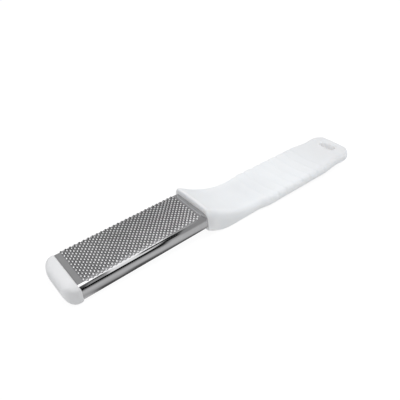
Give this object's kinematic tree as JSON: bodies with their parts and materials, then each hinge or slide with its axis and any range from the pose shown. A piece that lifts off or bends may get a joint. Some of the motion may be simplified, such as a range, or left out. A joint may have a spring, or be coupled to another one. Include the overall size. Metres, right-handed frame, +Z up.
{
  "type": "foot file",
  "caption": "Foot file with a toothed steel sleeve over a plastic core, a rounded end cap, and a cranked plastic handle with a rippled grip and a hanging slot.",
  "frame": {"origin": "middle of the underside's bounding box, on the surface that the file lies on", "axes": "+X along the file towards the handle's end, +Y across it, +Z up from the surface; the toothed face looks up"},
  "size_m": [0.2652, 0.0396, 0.0241],
  "materials": {
    "white_plastic": "satin moulded, cool white",
    "stainless": "bright polished",
    "spine_plastic": "plain moulded"
  },
  "bodies": {
    "root": {"end_cap": "white_plastic", "rasp_sleeve": "stainless", "spine": "spine_plastic", "handle": "white_plastic"}
  },
  "joints": []
}
